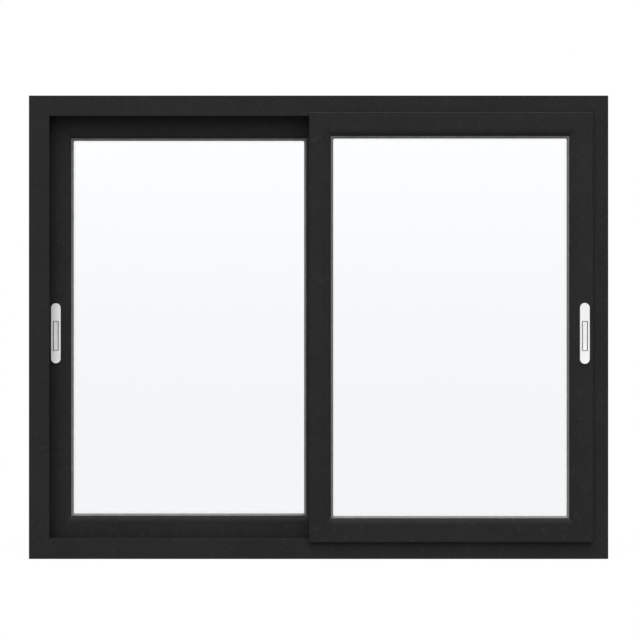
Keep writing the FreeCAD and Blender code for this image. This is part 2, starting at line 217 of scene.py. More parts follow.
def seam_mask(finish, low, high):
    """1 on the mitre lines of a ring between two corners, and 0 away from them."""
    x, z = finish.part("X"), finish.part("Z")
    upright = (x - float(low[0])).least(float(high[0]) - x)
    level = (z - float(low[2])).least(float(high[2]) - z)
    return 1 - abs(upright - level).between(0.3 * SEAM_HALF_WIDTH, SEAM_HALF_WIDTH)


print("a seam is", round(2 * SEAM_HALF_WIDTH / MM, 2), "mm wide")

# %% [markdown]
# The film is embossed like leather, and has short fine creases that meet in threes. The edges
# between the cells of a Voronoi pattern meet in the same way. Shown everywhere they would look like
# a net, so a second, slower noise lets them through in small patches only.

# %% The creases of the grain
CREASE_CELL = 10 * MM
CREASE_PATCH = 20 * MM
CREASE_WAVE = 6 * MM
CREASE_SHIFT = 4 * MM


def creases(finish):
    """1 on the fine creases of the grain, and 0 elsewhere.

    A crease is where the distance to the nearest edge between two cells is less than about a
    twentieth of a cell. The place is shifted by noise first, so that no crease is straight.
    """
    sockets = {"Vector": finish.place, "Scale": 1 / CREASE_WAVE}
    wave = finish.add("ShaderNodeTexNoise", {}, sockets, out="Color")
    sockets = {0: wave, "Scale": CREASE_SHIFT}
    shift = finish.add("ShaderNodeVectorMath", {"operation": "SCALE"}, sockets)
    place = finish.add("ShaderNodeVectorMath", {"operation": "ADD"}, {0: finish.place, 1: shift})
    sockets = {"Vector": place, "Scale": 1 / CREASE_CELL}
    edge = finish.add("ShaderNodeTexVoronoi", {"feature": "DISTANCE_TO_EDGE"}, sockets)
    return (1 - edge.between(0.03, 0.10)) * finish.noise(CREASE_PATCH, 2.0).between(0.58, 0.68)


print("creases run between cells of", round(CREASE_CELL / MM), "mm")

# %% [markdown]
# The film itself is anthracite, almost black. From near it has a grain of about a millimetre, small
# pits, and a few lighter and darker flecks, and from afar only a slight cloudiness is left. Each of
# these is a noise of its own size. They are laid over each other one by one, and the finer ones
# added up are the height of the relief. The film has hardly any gloss, so its specular level is
# low and its roughness in the middle.

# %% The printed film
# Greys of 255 for the film, its flecks, the painted shade in its pits, and its seams.
FILM = 37
FLECK_LIGHT = 62
FLECK_DARK_AND_PIT_SHADE = 18
SEAM = 24
GRAIN_SIZE = 1.1 * MM
PIT_SIZE = 2.1 * MM
CLOUD_SIZE = 120 * MM
LIGHT_FLECK_SIZE = 5.5 * MM
DARK_FLECK_SIZE = 4.7 * MM
FILM_RELIEF = 0.10 * MM


def film(name, low, high):
    """Dark grained film on a ring of four members that reaches from low to high."""
    finish = material_finish(name)
    grain = finish.noise(GRAIN_SIZE, 3.0, 0.6)
    pores = finish.noise(PIT_SIZE, 2.0, 0.55)
    pit_shade = 1 - pores.between(0.36, 0.50)
    cloud = finish.noise(CLOUD_SIZE, 3.0)
    light = finish.noise(LIGHT_FLECK_SIZE, 1.0).between(0.70, 0.76)
    upright = finish.stretched(1.0, 1.0, 0.7)
    dark = finish.noise(DARK_FLECK_SIZE, 1.0, place=upright).between(0.71, 0.77)
    crease = creases(finish)
    seam = seam_mask(finish, low, high)

    colour = finish.blend(cloud.between(0.3, 0.7), shade(FILM - 1.5), shade(FILM + 1.5, 0.01))
    colour = finish.blend(grain.between(0.35, 0.65) * 0.2, colour, shade(FILM + 12))
    colour = finish.blend(light * 0.55 + crease * 0.30, colour, shade(FLECK_LIGHT, 0.02))
    # the pits are real hollows of the relief, and their darker colour is painted shade; the dark
    # flecks are the film's own
    colour = finish.blend((pit_shade * 0.3).most(dark * 0.6), colour, shade(FLECK_DARK_AND_PIT_SHADE))
    colour = finish.blend(seam * 0.35, colour, shade(SEAM))

    relief = grain * 0.55 + pores * 0.45 + crease * 0.4 - dark * 0.5 - seam * 0.5
    return finish.surface({
        "Base Color": colour,
        "Roughness": cloud * 0.06 + grain * 0.12 + 0.50,
        "Specular IOR Level": 0.06,
        "Normal": finish.bump(relief, FILM_RELIEF),
    })


print("film of grey", FILM, "with a grain of", round(GRAIN_SIZE / MM, 2), "mm")

# %% [markdown]
# The frame and each sash are rings of four members, and a seam is found from the outer edges of
# its own ring, so each ring gets a film of its own with the same grain. The two sashes mirror each
# other: the left one has its outer stile on the left, and the right one on the right.

# %% The rings and their films
FRAME_SIDES = {
    "frame_sill": "bottom",
    "frame_jamb_right": "right",
    "frame_head": "top",
    "frame_jamb_left": "left",
}
# Each sash, and the side of it that the outer stile is on.
SASHES = {"left_sash": "left", "right_sash": "right"}
MEMBERS = ("outer_stile", "meeting_stile", "top_rail", "bottom_rail")


def span(names):
    """Lowest and highest corner of several pieces of the fixed model."""
    boxes = [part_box(name) for name in names]
    return np.min([b[0] for b in boxes], axis=0), np.max([b[1] for b in boxes], axis=0)


def sash_sides(sash, ends=MEMBERS):
    """Four pieces of a sash, by the ends of their names, and the side that each lies on."""
    outer = SASHES[sash]
    meeting = "left" if outer == "right" else "right"
    return {sash + "_" + end: side for end, side in zip(ends, (outer, meeting, "top", "bottom"))}


RINGS = {"frame": FRAME_SIDES}
for sash in SASHES:
    RINGS[sash] = sash_sides(sash)
FILMS = {ring: film("film_" + ring, *span(sides)) for ring, sides in RINGS.items()}
print("films for", ", ".join(FILMS))

# %% [markdown]
# The gaskets are matt grey rubber with a faint bloom. Clear glass is less simple: at each face
# about one part in twenty of the light comes back, and the rest goes straight on. A mirror with a
# low alpha does just that. It renders quickly, casts almost no shadow, and is still glass in other
# programs. The faint blue of the mirror is that of the coating inside such a unit.

# %% Rubber and glass


def rubber(name, grey):
    """Matt rubber with a faint bloom."""
    finish = material_finish(name)
    bloom = finish.noise(20 * MM, 3.0)
    speck = finish.noise(0.9 * MM, 2.0)
    colour = finish.blend(bloom.between(0.3, 0.7), shade(grey - 5), shade(grey + 5, 0.004))
    return finish.surface({
        "Base Color": colour,
        "Roughness": bloom * 0.1 + 0.55,
        "Specular IOR Level": 0.3,
        "Normal": finish.bump(speck, 0.04 * MM),
    })


def clear_glass(name):
    """A face of clear glass, which sends back a little of the light and lets the rest through."""
    finish = material_finish(name)
    wave = finish.noise(350 * MM, 1.0)
    return finish.surface({
        "Base Color": (0.82, 0.93, 1.0, 1),
        "Metallic": 1.0,
        "Roughness": 0.02,
        "Alpha": 0.040,
        "Normal": finish.bump(wave, 0.01 * MM),
    })


GASKET_RUBBER = rubber("gasket_rubber", 108)
OUTDOOR_RUBBER = rubber("outdoor_gasket_rubber", 84)
GLASS = clear_glass("pane_glass")
print("rubber in two greys, and clear glass")

# %% [markdown]
# The pulls are cast metal under a pale satin coating, with the slight orange peel that a coating
# gets as it dries. The housings of the rollers and the cases of the latches are folded from zinc
# plated sheet, whose scratches all run the way that it was rolled. A noise that is drawn out along
# X gives such scratches.

# %% Coated and plated metal


def coated_metal(name, grey):
    """Cast metal under a pale satin coating."""
    finish = material_finish(name)
    peel = finish.noise(1.6 * MM, 1.0)
    tone = finish.noise(30 * MM, 2.0)
    colour = finish.blend(tone.between(0.3, 0.7), shade(grey - 3), shade(grey + 2, 0.006))
    return finish.surface({
        "Base Color": colour,
        "Roughness": tone * 0.08 + 0.30,
        "Specular IOR Level": 0.35,
        "Coat Weight": 0.08,
        "Coat Roughness": 0.2,
        "Normal": finish.bump(peel, 0.012 * MM),
    })


def plated_steel(name, grey):
    """Zinc plated sheet steel with the scratches of its rolling along it."""
    finish = material_finish(name)
    rolled = finish.noise(0.6 * MM, 3.0, place=finish.stretched(0.04, 1.0, 1.0))
    spangle = finish.noise(6 * MM, 2.0)
    colour = finish.blend(spangle.between(0.35, 0.65), shade(grey - 14), shade(grey + 10, 0.01))
    return finish.surface({
        "Base Color": colour,
        "Metallic": 1.0,
        "Roughness": rolled * 0.2 + 0.28,
        "Normal": finish.bump(rolled, 0.01 * MM),
    })


PULL_COATING = coated_metal("pull_coating", 239)
TONGUE_COATING = coated_metal("tongue_coating", 236)
HOUSING_STEEL = plated_steel("housing_steel", 175)
CASE_STEEL = plated_steel("case_steel", 165)
print("coated metal for plate and tongue, plated steel for housings and cases")

# %% [markdown]
# The spacer between the panes is filled with drying agent, which reaches the air between them
# through fine holes. There are more than a thousand, each under a millimetre and a half wide, so
# they are not cut: each is painted as a dark dot, which is painted shade in an open hole. Their
# rows follow the side of the spacer that they are on, and the direction that the surface looks in
# tells which side that is.

# %% The holes of the spacer
HOLE_PITCH = 3.0 * MM
HOLE_RADIUS = 0.65 * MM
ROW_PITCH = 4.4 * MM
ROW_START = 1.0 * MM


def perforations(finish):
    """1 in the small holes of the spacer, which lie in two rows along each of its four sides.

    A hole is where the distances to the nearest pitch along the side and to the nearest row in
    depth, squared and added, are less than the squared radius. A side is level where its surface
    looks up or down, and there the rows run along X, and otherwise along Z.
    """
    normal = finish.add("ShaderNodeTexCoord", out="Normal")
    level = abs(finish.add("ShaderNodeSeparateXYZ", {}, {"Vector": normal}, out="Z"))
    run = finish.part("X") * level + finish.part("Z") * (1 - level)
    along = run.math("PINGPONG", run, HOLE_PITCH / 2)
    across = run.math("PINGPONG", finish.part("Y") - ROW_START, ROW_PITCH / 2)
    apart = run.math("SQRT", along * along + across * across)
    return 1 - apart.between(0.7 * HOLE_RADIUS, HOLE_RADIUS)


print("holes", HOLE_PITCH / MM, "mm apart in rows", ROW_PITCH / MM, "mm apart")

# %% [markdown]
# Spacer and hooks are extruded aluminium, and the die draws fine lines along the length. Setting
# blocks, rollers and drain covers are moulded plastic, which keeps a faint pattern of how the melt
# flowed. A dark moulded plastic also paints the shade in the slots of the pulls.

# %% Aluminium and plastic
# grey of the painted shade in the holes of the spacer
HOLE_SHADE = 25


def extruded_aluminium(name, grey, holes=False):
    """Extruded aluminium with fine die lines along its length, and rows of holes if asked for."""
    finish = material_finish(name)
    lines = finish.noise(0.8 * MM, 2.0, place=finish.stretched(1.0, 1.0, 0.02))
    colour = finish.blend(lines.between(0.3, 0.7), shade(grey - 8), shade(grey + 8))
    if holes:
        colour = finish.blend(perforations(finish), colour, shade(HOLE_SHADE))
    return finish.surface({
        "Base Color": colour,
        "Metallic": 1.0,
        "Roughness": lines * 0.15 + 0.35,
        "Normal": finish.bump(lines, 0.01 * MM),
    })


def moulded_plastic(name, grey, warmth=0.0):
    """Injection moulded plastic with a faint flow pattern."""
    finish = material_finish(name)
    flow = finish.noise(8 * MM, 3.0)
    speck = finish.noise(0.7 * MM, 1.0)
    darker, paler = shade(grey * 0.95, warmth), shade(grey * 1.04, warmth)
    return finish.surface({
        "Base Color": finish.blend(flow.between(0.3, 0.7), darker, paler),
        "Roughness": flow * 0.12 + 0.38,
        "Normal": finish.bump(speck, 0.02 * MM),
    })


SPACER_ALUMINIUM = extruded_aluminium("spacer_aluminium", 190, holes=True)
HOOK_ALUMINIUM = extruded_aluminium("hook_aluminium", 70)
BLOCK_PLASTIC = moulded_plastic("block_plastic", 40)
WHEEL_PLASTIC = moulded_plastic("wheel_plastic", 215, 0.04)
DRAIN_PLASTIC = moulded_plastic("drain_cover_plastic", 40)
# a dark plastic that paints the shade in the slots of the pulls
SLOT_SHADE_PLASTIC = moulded_plastic("slot_shade_plastic", 30)
print("aluminium for spacer and hooks, and four moulded plastics")

# %% [markdown]
# Now each piece of the fixed model gets its finish by its name. A piece of a sash that the table
# doesn't name is a member, a bead or the cover of the meeting stile, and it wears the film of its
# ring. The pieces that are rebuilt further on take the finish of the piece that they stand for.

# %% Every piece gets its finish
FINISHES = {
    "gasket_indoor": GASKET_RUBBER,
    "gasket_outdoor": OUTDOOR_RUBBER,
    "pane_indoor": GLASS,
    "pane_outdoor": GLASS,
    "spacer": SPACER_ALUMINIUM,
    "setting_blocks": BLOCK_PLASTIC,
    "roller_housings": HOUSING_STEEL,
    "roller_wheels": WHEEL_PLASTIC,
    "handle_plate": PULL_COATING,
    "latch_tongue": TONGUE_COATING,
    "latch_case": CASE_STEEL,
    "interlock": HOOK_ALUMINIUM,
}


def dress(piece, material):
    """Gives an object one material."""
    piece.data.materials.clear()
    piece.data.materials.append(material)


def finish_of(name):
    """The finish that belongs on a piece of the fixed model."""
    if name.startswith("frame_"):
        return FILMS["frame"]
    if name == "sill_drain_covers":
        return DRAIN_PLASTIC
    side, _, part = name.partition("_sash_")
    return FINISHES.get(part, FILMS[side + "_sash"])


for name, node in nodes.items():
    dress(node, finish_of(name))
print("dressed", len(nodes), "pieces in", len({finish_of(name) for name in nodes}), "finishes")

# %% [markdown]
# Every new surface is a grid of points, worked out as a whole array, and its faces follow from
# counting: each joins four neighbours in the grid. Where a grid closes on itself or narrows to a
# line, points come to lie on each other. So doubles are joined first, and only then are the faces
# turned outwards, which needs a surface without gaps.

# %% From points to a solid


def grid_faces(rows, columns, wrap_rows=False):
    """Four-cornered faces between neighbours in a grid of points whose rows are closed lines."""
    last = rows if wrap_rows else rows - 1
    r, c = np.meshgrid(np.arange(last), np.arange(columns), indexing="ij")
    below, beside = (r + 1) % rows, (c + 1) % columns
    corners = [r * columns + c, r * columns + beside, below * columns + beside, below * columns + c]
    return np.stack(corners, -1).reshape(-1, 4).tolist()


def join_points(mesh, apart, turn_outwards):
    """Joins points that lie closer than apart, and turns the faces outwards if asked for."""
    shape = bmesh.new()
    shape.from_mesh(mesh)
    bmesh.ops.remove_doubles(shape, verts=shape.verts, dist=apart)
    if turn_outwards:
        bmesh.ops.recalc_face_normals(shape, faces=shape.faces)
    shape.to_mesh(mesh)
    shape.free()


def into_scene(name, data):
    """An object for a mesh, a lamp or a camera, put into the scene."""
    thing = bpy.data.objects.new(name, data)
    bpy.context.scene.collection.objects.link(thing)
    return thing


def smoothed(name, mesh, smooth_angle=30):
    """An object whose faces are shaded as one where they meet at less than an angle."""
    mesh.shade_smooth()
    mesh.set_sharp_from_angle(angle=math.radians(smooth_angle))
    return into_scene(name, mesh)


def solid(name, points, faces, smooth_angle=30):
    """An object from points and faces: doubles joined, faces outwards, roundings smooth."""
    mesh = bpy.data.meshes.new(name)
    mesh.from_pydata(np.asarray(points).tolist(), [], faces)
    join_points(mesh, 0.001 * MM, turn_outwards=True)
    return smoothed(name, mesh, smooth_angle)


print("a closed grid of 4 by 6 points has", len(grid_faces(4, 6, wrap_rows=True)), "faces")

# %% [markdown]
# A new piece takes the place of a piece of the fixed model, which is hidden but stays there for the
# physics. Smooth shading alone would also bend the light on its broad flat faces, right up to their
# middle. The Weighted Normal modifier prevents that: it lets the larger face decide.

# %% Pieces that stand for others


def keep_flats(piece):
    """Shades a large flat face by its own normal, and bends only the small faces beside it."""
    modifier = piece.modifiers.new("flat faces", "WEIGHTED_NORMAL")
    modifier.mode = "FACE_AREA"
    modifier.weight = 100
    modifier.keep_sharp = True


def stands_for(piece, names, material):
    """Puts a piece in the place of nodes of the fixed model, with its finish."""
    dress(piece, material)
    if names:
        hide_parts(*names)
    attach(piece, "root")


print("a piece can stand for any of", len(nodes), "others")

# %% [markdown]
# The frame and the sashes have holes, slots and stepped mitres, and the fixed model already has
# all of them. Only its shading is coarse: each triangle is lit on its own, so a rounded arris
# shows as a row of flat strips. A copy whose shared corners are joined can be shaded smoothly
# wherever two faces meet at a small angle, and that is all these pieces need.

# %% Members of the frame and the sashes
ROLLER_SLOTS = {"roller_housings": "roller_housing", "roller_wheels": "roller_wheel"}


def smooth_copy(name):
    """A copy of a piece of the fixed model with joined corners and smooth roundings."""
    mesh = nodes[name].data.copy()
    join_points(mesh, 0.01 * MM, turn_outwards=False)
    piece = smoothed(name + "_smooth", mesh)
    keep_flats(piece)
    return piece


for name in RINGS["frame"]:
    stands_for(smooth_copy(name), [name], FILMS["frame"])
for sash in SASHES:
    for name in RINGS[sash]:
        stands_for(smooth_copy(name), [name], FILMS[sash])
    for part, slot_name in ROLLER_SLOTS.items():
        name = sash + "_" + part
        stands_for(smooth_copy(name), [name], FINISHES[part])
stands_for(smooth_copy("sill_drain_covers"), ["sill_drain_covers"], DRAIN_PLASTIC)
print("smoothed the members, rollers and drain covers")

# %% [markdown]
# A bead runs along one side of its ring, and meets the next bead at 45 degrees. It could be made
# too long and cut off, but there is an easier way. Each point of the section is carried along the
# side, and at both ends it stops as far from the corner as it lies in from the outer edge. That is
# what a mitre is, and it needs no cut at all.

# %% Lengths with mitred ends
# For each side of a ring: its first corner, the way inwards and the way along, as (x, z).
DIRECTIONS = {
    "bottom": ((0, 0), (0, 1), (1, 0)),
    "right": ((1, 0), (-1, 0), (0, 1)),
    "top": ((1, 1), (0, -1), (-1, 0)),
    "left": ((0, 1), (1, 0), (0, -1)),
}


def mitred_points(low, high, side, section):
    """Two rows of points: the section at both ends, each point as far along as it is inwards."""
    start, inward, along = (np.array(d, float) for d in DIRECTIONS[side])
    size = np.array([high[0] - low[0], high[2] - low[2]])
    corner = np.array([low[0], low[2]]) + start * size
    length = abs(along @ size)
    inset = section[:, :1]
    near = corner + inset * inward + inset * along
    far = corner + inset * inward + (length - inset) * along
    flat = np.stack([near, far])
    deep = np.broadcast_to(low[1] + section[:, 1], flat.shape[:2])
    return np.stack([flat[..., 0], deep, flat[..., 1]], -1)


def end_faces(rows, columns):
    """The two faces that close a grid of points at its first and last row."""
    first = list(range(columns))
    return [first, [(rows - 1) * columns + i for i in first]]


def mitred_length(name, low, high, side, section):
    """One side of a ring with a constant section and mitred ends."""
    points = mitred_points(low, high, side, section).reshape(-1, 3)
    faces = grid_faces(2, len(section)) + end_faces(2, len(section))
    return solid(name, points, faces)


print("a ring has the sides", ", ".join(DIRECTIONS))

# %% [markdown]
# The glazing beads fall in a gentle curve from the face of the sash to the glass. That curve is
# an arc that starts level with the sash, so that the light fades along it without a break. The
# insets of beads and gaskets are measured from a ring whose edge lies 45 mm outside the beads.

# %% The glazing beads
# In millimetres, inwards from the edge of the ring and outdoors from the face of the sash.
REBATE = 45.0
FACE = 61.0
BEAD_TOP = 0.3
BEAD_NOSE = 5.4
BEAD_POINTS = 14
# The arc leaves out a little at both ends, where the edges of the bead are broken.
ARC_START = 0.02
ARC_SHARE = 0.985
# Nose, back and foot of the bead as (across, deep).
BEAD_BACK = [(FACE, 5.75), (FACE, 7), (48.5, 7), (48.5, 14), (REBATE, 14), (REBATE, 0.55)]
BEADS = ("bead_outer", "bead_meeting", "bead_top", "bead_bottom")


def glazing_ring(sash):
    """Lowest and highest corner of the ring, with the indoor face of the sash as its depth."""
    low, high = span(sash_sides(sash, BEADS))
    grow = np.array([REBATE, 0, REBATE]) * MM
    low, high = low - grow, high + grow
    low[1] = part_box(sash + "_meeting_stile")[0][1]
    return low, high


def bead_section():
    """The arc of the bead's face, then its nose, its back and its foot in the rebate.

    The radius is run squared plus fall squared, over twice the fall. A point at an angle lies the
    radius times the sine across, and the radius times one less the cosine deep.
    """
    run = FACE - REBATE
    fall = BEAD_NOSE - BEAD_TOP
    radius = (run ** 2 + fall ** 2) / (2 * fall)
    angles = np.linspace(ARC_START, math.asin(run / radius) * ARC_SHARE, BEAD_POINTS)
    face = np.column_stack([
        REBATE + radius * np.sin(angles),
        BEAD_TOP + radius * (1 - np.cos(angles)),
    ])
    return np.concatenate([face, BEAD_BACK]) * MM


for sash in SASHES:
    low, high = glazing_ring(sash)
    for name, side in sash_sides(sash, BEADS).items():
        piece = mitred_length(name + "_profile", low, high, side, bead_section())
        stands_for(piece, [name], FILMS[sash])
print("points in the section of a bead:", len(bead_section()))

# %% [markdown]
# The section of a gasket or a brush is drawn as a maker would draw it: as corners, each with the
# radius of its rounding. No real edge is quite sharp, and those small roundings are what catches
# the light. Each arc is worked out from its corner and the corners before and after it.

# %% Sections with rounded corners
ARC_POINTS = 6


def arc_points(before, corner, after, radius):
    """The arc that rounds a corner: points at equal angles about the centre of the rounding.

    The centre lies on the line that halves the corner, at the radius over the sine of half the
    corner's angle. The arc starts and ends at the radius over the tangent of that half.
    """
    back = (before - corner) / np.linalg.norm(before - corner)
    ahead = (after - corner) / np.linalg.norm(after - corner)
    half = np.arccos(np.clip(back @ ahead, -1, 1)) / 2
    middle = (back + ahead) / np.linalg.norm(back + ahead)
    centre = corner + middle * radius / math.sin(half)
    start = corner + back * radius / math.tan(half) - centre
    side = np.array([-middle[1], middle[0]])
    angles = np.sign(start @ side) * (math.pi / 2 - half) * np.linspace(1, -1, ARC_POINTS)
    return centre + radius * (np.outer(np.cos(angles), -middle) + np.outer(np.sin(angles), side))


def outline(corners):
    """A closed line through corners given as (across, deep, radius) in millimetres."""
    places = np.array([c[:2] for c in corners], float)
    pieces = []
    for i, (_, _, radius) in enumerate(corners):
        before, after = places[i - 1], places[(i + 1) % len(places)]
        if radius:
            pieces.append(arc_points(before, places[i], after, radius))
        else:
            pieces.append(places[i:i + 1])
    return np.concatenate(pieces) * MM


GASKET_SECTION = outline([
    (53, 7, 0),
    (61.8, 7, 0),
    (61.8, 5.6, 0.4),
    (62.7, 5.6, 0.9),
    (67.5, 9.2, 0.2),
    (67.5, 9.5, 0),
    (53, 9.5, 0),
])
print("points in the section of a gasket:", len(GASKET_SECTION))

# %% [markdown]
# The rubber between bead and glass is one gasket that is bent round all four corners. Next to the
# bead it leaves a narrow gap, which is the dark line round the glass, and then it slopes down to
# the glass, so that the light from above makes it dark at the head and pale at the foot. A point
# of its section that lies some way inside the ring runs on a rectangle with rounded corners.

# %% The indoor gaskets
BEND = 4 * MM
BEND_POINTS = 7
# The corners of a rectangle, in the order in which the quarters of a turn pass them.
QUARTERS = np.array([[1, 1], [-1, 1], [-1, -1], [1, -1]])


def quarter_turns(steps):
    """Angles once round, as four quarters of some steps each, with both ends of each quarter."""
    return np.concatenate([q * math.pi / 2 + np.linspace(0, math.pi / 2, steps) for q in range(4)])


def bent_loop(name, low, high, section):
    """A section bent round a ring.

    Each corner turns about a centre that lies BEND beyond the widest point of the section, and
    a point runs round that centre at its distance from it, by cosine and sine.
    """
    centre = section[:, 0].max() + BEND
    corners = np.where(QUARTERS > 0, [high[0], high[2]], [low[0], low[2]])
    middles = np.repeat(corners - QUARTERS * centre, BEND_POINTS, axis=0)
    turns = quarter_turns(BEND_POINTS)
    reach = centre - section[:, 0]
    x = middles[:, :1] + np.outer(np.cos(turns), reach)
    z = middles[:, 1:] + np.outer(np.sin(turns), reach)
    y = np.broadcast_to(low[1] + section[:, 1], x.shape)
    points = np.stack([x, y, z], -1).reshape(-1, 3)
    return solid(name, points, grid_faces(len(turns), len(section), wrap_rows=True))


for sash in SASHES:
    name = sash + "_gasket_indoor"
    piece = bent_loop(name + "_lip", *glazing_ring(sash), GASKET_SECTION)
    stands_for(piece, [name], FINISHES["gasket_indoor"])
    print(piece.name, len(piece.data.polygons), "faces")

# %% [markdown]
# The flush pull is a capsule-shaped plate with a raised rim, and in it a rectangular slot with a
# sliding tongue that has a shallow hollow for a fingertip. All of it can be made from one idea: a
# stack of rounded rectangles, each with its own size and height, joined by faces. A capsule is
# a rounded rectangle whose corners are as round as it is wide.

# %% Stacks of rounded rectangles
CORNER_POINTS = 9
ROUNDING_POINTS = 6


def rounded_rectangle(size, corner, inset, drop=0.0, between=0):
    """Points round a rectangle with arcs at its corners, made smaller by an inset.

    An arc is cosine and sine about a centre that lies one radius in from both edges, and the
    radius shrinks by the inset too. The straight sides get a number of points of their own.
    """
    radius = max(corner - inset, 0)
    half = np.array(size) / 2 - inset
    middles = np.repeat(QUARTERS * (half - radius), CORNER_POINTS, axis=0)
    turns = quarter_turns(CORNER_POINTS)
    points = middles + radius * np.column_stack([np.cos(turns), np.sin(turns)])
    arcs = (points - [0, drop]).reshape(4, CORNER_POINTS, 2)
    line = []
    for arc, following in zip(arcs, np.roll(arcs, -1, axis=0)):
        line += [arc, np.linspace(arc[-1], following[0], between + 2)[1:-1]]
    return np.concatenate(line)


def rounding(height, radius):
    """Insets and heights along a quarter circle that rises from a wall and ends at a height.

    The inset is the radius times one less the cosine of the turn, and the point lies below the
    height by the radius times one less the sine.
    """
    turns = np.linspace(0, math.pi / 2, ROUNDING_POINTS)
    return [(radius * (1 - math.cos(t)), height - radius * (1 - math.sin(t))) for t in turns]


def stacked(name, loops, place, closed):
    """Faces between loops of (points, height), the height towards the room from a place."""
    count = len(loops[0][0])
    flat = np.concatenate([points for points, _ in loops]) * MM
    height = np.concatenate([np.broadcast_to(h, count) for _, h in loops]) * MM
    points = np.column_stack([place[0] + flat[:, 0], place[1] - height, place[2] + flat[:, 1]])
    faces = grid_faces(len(loops), count, wrap_rows=closed)
    if not closed:
        faces.append(list(range(count)))
    piece = solid(name, points, faces, smooth_angle=35)
    keep_flats(piece)
    return piece


print("a rounded rectangle has", len(rounded_rectangle((2, 3), 0.5, 0.0)), "points")

# %% [markdown]
# The loops of the plate start at its foot on the stile, go up over the rounded rim, down the small
# step to the field, and then down the wall of the slot. The last loop is joined to the first, and
# that is the back of the plate. So the slot goes right through, as it does in the cast plate.

# %% The plate of a pull
# Everything about the pulls is in millimetres, and a size is (width, height).
PLATE = (25.0, 157.0)
PLATE_CORNER = 12.5
RIM_HEIGHT = 3.0
RIM_ROUNDING = 1.2
SLOT = (14.8, 77.4)
SLOT_CORNER = 0.6
SLOT_DROP = 6.5
# Pairs of (inset, height): the step from rim to field, and the rounded edge and wall of the slot.
FIELD_STEP = [(2.1, RIM_HEIGHT), (2.25, 2.93), (2.45, 2.5), (2.7, 2.4)]
SLOT_WALL = [(-0.3, 2.4), (-0.1, 2.3), (0.0, 2.05), (0.0, 0.0)]


def plate_loops():
    """Outer wall, rounded rim, the step down to the field, then the slot and its wall."""
    path = [(0.0, 0.0)] + rounding(RIM_HEIGHT, RIM_ROUNDING) + FIELD_STEP
    loops = [(rounded_rectangle(PLATE, PLATE_CORNER, i), h) for i, h in path]
    slot = [(rounded_rectangle(SLOT, SLOT_CORNER, i, SLOT_DROP), h) for i, h in SLOT_WALL]
    return loops + slot


print("loops of the plate:", len(plate_loops()))

# %% [markdown]
# The tongue stands in the slot with a narrow gap all round it. Its loops go up the wall and over
# the arris, and then they shrink to a line along its middle, while a formula sinks them into a
# hollow. The straight sides need points of their own here, because only points can sink.

# %% The tongue of a pull
TONGUE_GAP = 1.9
TONGUE_FOOT = -6.5
TONGUE_TOP = 2.1
TONGUE_ARRIS = 0.4
TONGUE_CORNER = 0.9
SIDE_POINTS = 9
HOLLOW_ROWS = 12
HOLLOW_DEPTH = 1.0
HOLLOW_FADE = 9.0
END_LIP = 0.8
SIDE_LIP = 0.6


def tongue_loops():
    """Wall and arris, then the rows over the hollow.

    A point sinks by HOLLOW_DEPTH, times one less the square of how far across it lies, times
    3 e squared less 2 e cubed, where e grows from 0 to 1 over HOLLOW_FADE from either end.
    """
    size = (SLOT[0] - 2 * TONGUE_GAP, SLOT[1] - 2 * TONGUE_GAP)
    loops = []
    for inset, height in [(0.0, TONGUE_FOOT)] + rounding(TONGUE_TOP, TONGUE_ARRIS):
        loops.append((rounded_rectangle(size, TONGUE_CORNER, inset, between=SIDE_POINTS), height))
    for inset in np.linspace(END_LIP, size[0] / 2, HOLLOW_ROWS):
        points = rounded_rectangle(size, TONGUE_CORNER, inset, between=SIDE_POINTS)
        across = np.abs(points[:, 0]) / (size[0] / 2 - SIDE_LIP)
        end = np.clip((size[1] / 2 - END_LIP - np.abs(points[:, 1])) / HOLLOW_FADE, 0, 1)
        depth = HOLLOW_DEPTH * np.clip(1 - across ** 2, 0, 1) * (3 * end ** 2 - 2 * end ** 3)
        loops.append((points, TONGUE_TOP - depth))
    return [(points - [0, SLOT_DROP], height) for points, height in loops]


print("loops of the tongue:", len(tongue_loops()))

# %% [markdown]
# Through the gap round the tongue one looks into the slot, which lies in shade and shows as a clear
# dark line. That shade is painted: the walls that lie low enough in the slot get a dark plastic as
# a second material of the same piece, and need no surface of their own.

# %% The flush pulls
LIT_HEIGHT = 1.7
SLOT_MARGIN = 0.05
WALL_TILT = 0.5


def shade_the_slot(piece, place):
    """Paints shade with the dark plastic on the walls in the slot whose middles lie below
    LIT_HEIGHT.
    """
    middles, facing = np.empty((2, 3 * len(piece.data.polygons)))
    piece.data.polygons.foreach_get("center", middles)
    piece.data.polygons.foreach_get("normal", facing)
    x, y, z = (middles.reshape(-1, 3) - place).T / MM
    reach = np.array(SLOT) / 2 + SLOT_MARGIN
    within = (abs(x) < reach[0]) & (abs(z + SLOT_DROP) < reach[1])
    # the low walls of the slot, which get the painted shade
    wall = within & (-y < LIT_HEIGHT) & (abs(facing[1::3]) < WALL_TILT)
    piece.data.materials.append(SLOT_SHADE_PLASTIC)
    piece.data.polygons.foreach_set("material_index", wall.astype(np.int32))


for sash in SASHES:
    low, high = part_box(sash + "_handle_plate")
    place = np.array([(low[0] + high[0]) / 2, high[1], (low[2] + high[2]) / 2])
    for part, loops, closed in (
        ("handle_plate", plate_loops(), True),
        ("latch_tongue", tongue_loops(), False),
    ):
        name = sash + "_" + part
        piece = stacked(name + "_smooth", loops, place, closed)
        stands_for(piece, [name], FINISHES[part])
        shade_the_slot(piece, place)
        print(piece.name, len(piece.data.polygons), "faces")

# %% [markdown]
# A sliding sash is sealed by brushes: strips of fine pile that stand in the walls of its groove
# and wipe along the rail. The pile itself is far too fine to be modelled, so a noise that is drawn
# out along the fibres gives its streaks, in colour and in relief, and a little sheen its softness.

# %% The pile of the brushes
FIBRE_SIZE = 0.5 * MM
TUFT_SIZE = 4 * MM


